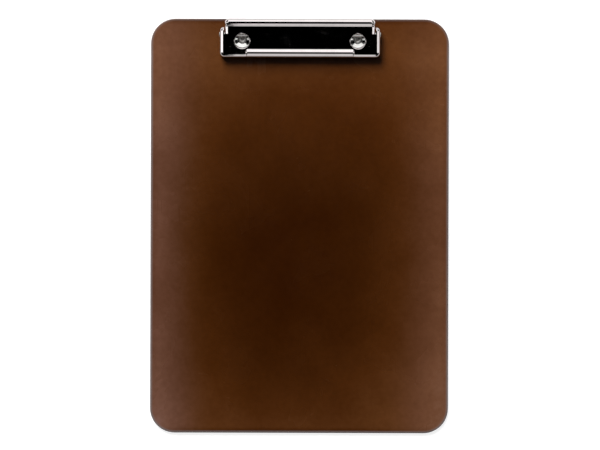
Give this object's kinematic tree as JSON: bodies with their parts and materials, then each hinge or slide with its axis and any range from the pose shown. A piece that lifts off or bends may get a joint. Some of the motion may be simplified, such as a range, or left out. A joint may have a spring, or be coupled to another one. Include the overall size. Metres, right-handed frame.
{
  "type": "clipboard",
  "caption": "Flat rectangular writing board with rounded corners and a low sprung metal clip across one short end; pressing the clip's lip lifts its jaw.",
  "frame": {"origin": "centre of the board's underside", "axes": "+X across the board, +Y towards the clip end, +Z out of the writing face"},
  "size_m": [0.2286, 0.3174, 0.0132],
  "materials": {
    "board_plastic": "translucent smoke brown, fine matte texture",
    "lever_chrome": "bright mirror chrome plating",
    "plated_steel": "satin nickel-plated steel",
    "spring_steel": "drawn music wire, lightly oiled",
    "rivet_nickel": "bright nickel plating"
  },
  "bodies": {
    "board": {"board": "board_plastic", "base_plate": "plated_steel", "rivet_left": "rivet_nickel", "rivet_right": "rivet_nickel", "washer_left": "plated_steel", "washer_right": "plated_steel", "spring_left": "spring_steel", "spring_right": "spring_steel"},
    "lever": {"clamp_lever": "lever_chrome", "hinge_pin": "plated_steel"}
  },
  "joints": [
    {"name": "lever_hinge", "type": "hinge", "parent": "board", "child": "lever", "pos_m": [0, 0.14625, 0.0079], "axis": [-1, 0, 0], "range_deg": [0, 30], "stiffness_Nm_per_rad": 0.25, "springref_deg": -80.21, "deforming": ["spring_left", "spring_right"]}
  ]
}
